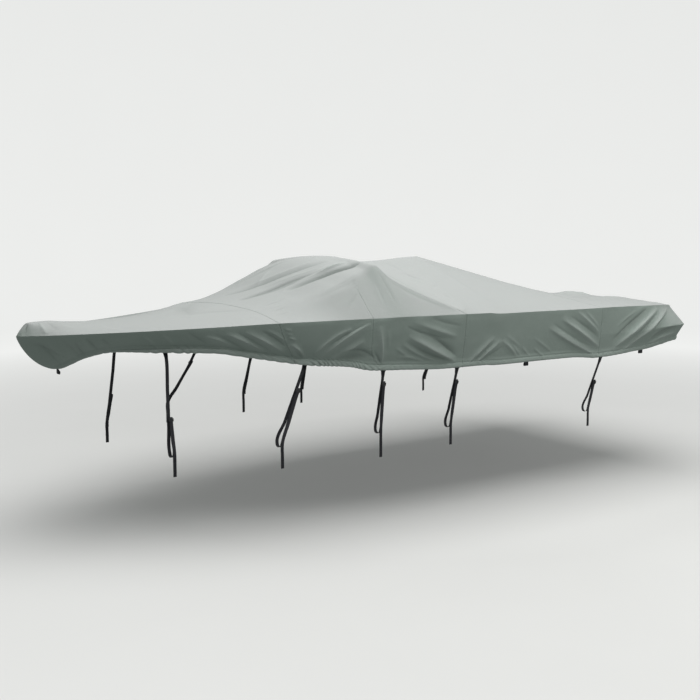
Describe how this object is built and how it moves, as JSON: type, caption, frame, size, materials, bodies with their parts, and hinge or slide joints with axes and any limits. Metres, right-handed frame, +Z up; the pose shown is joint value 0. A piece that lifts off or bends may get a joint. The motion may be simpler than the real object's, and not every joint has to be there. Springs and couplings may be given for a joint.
{
  "type": "fitted boat cover",
  "caption": "Fitted cloth boat cover in its draped shape, hollow below, with a tented rear, gathered skirt, webbing loops and side tie-downs.",
  "frame": {"origin": "the point under the tent peak, half a millimetre below the cloth, where a pole or the thing covered holds the cover up", "axes": "+X aft along the centre line, +Y to the far side of the picture, +Z up"},
  "size_m": [5.4766, 2.319, 1.4367],
  "materials": {
    "cloth": "matt plain-woven polyester, sage green",
    "webbing": "ribbed black webbing",
    "buckle": "moulded black plastic"
  },
  "bodies": {
    "root": {"nose_panel": "cloth", "dome_panel": "cloth", "peak_panel": "cloth", "tail_panel": "cloth", "tie_near_1": "webbing", "tie_near_2": "webbing", "tie_near_3": "webbing", "tie_near_4": "webbing", "tie_near_5": "webbing", "tie_far_1": "webbing", "tie_far_2": "webbing", "tie_far_3": "webbing", "tie_far_4": "webbing", "tie_far_5": "webbing", "buckle_near_1": "buckle", "buckle_near_2": "buckle", "buckle_near_3": "buckle", "buckle_near_4": "buckle", "buckle_near_5": "buckle", "buckle_far_1": "buckle", "buckle_far_2": "buckle", "buckle_far_3": "buckle", "buckle_far_4": "buckle", "buckle_far_5": "buckle", "loop_near_1": "webbing", "loop_near_2": "webbing", "loop_near_corner": "webbing", "loop_far_1": "webbing", "loop_far_2": "webbing", "loop_far_corner": "webbing", "loop_nose": "webbing"}
  },
  "joints": []
}
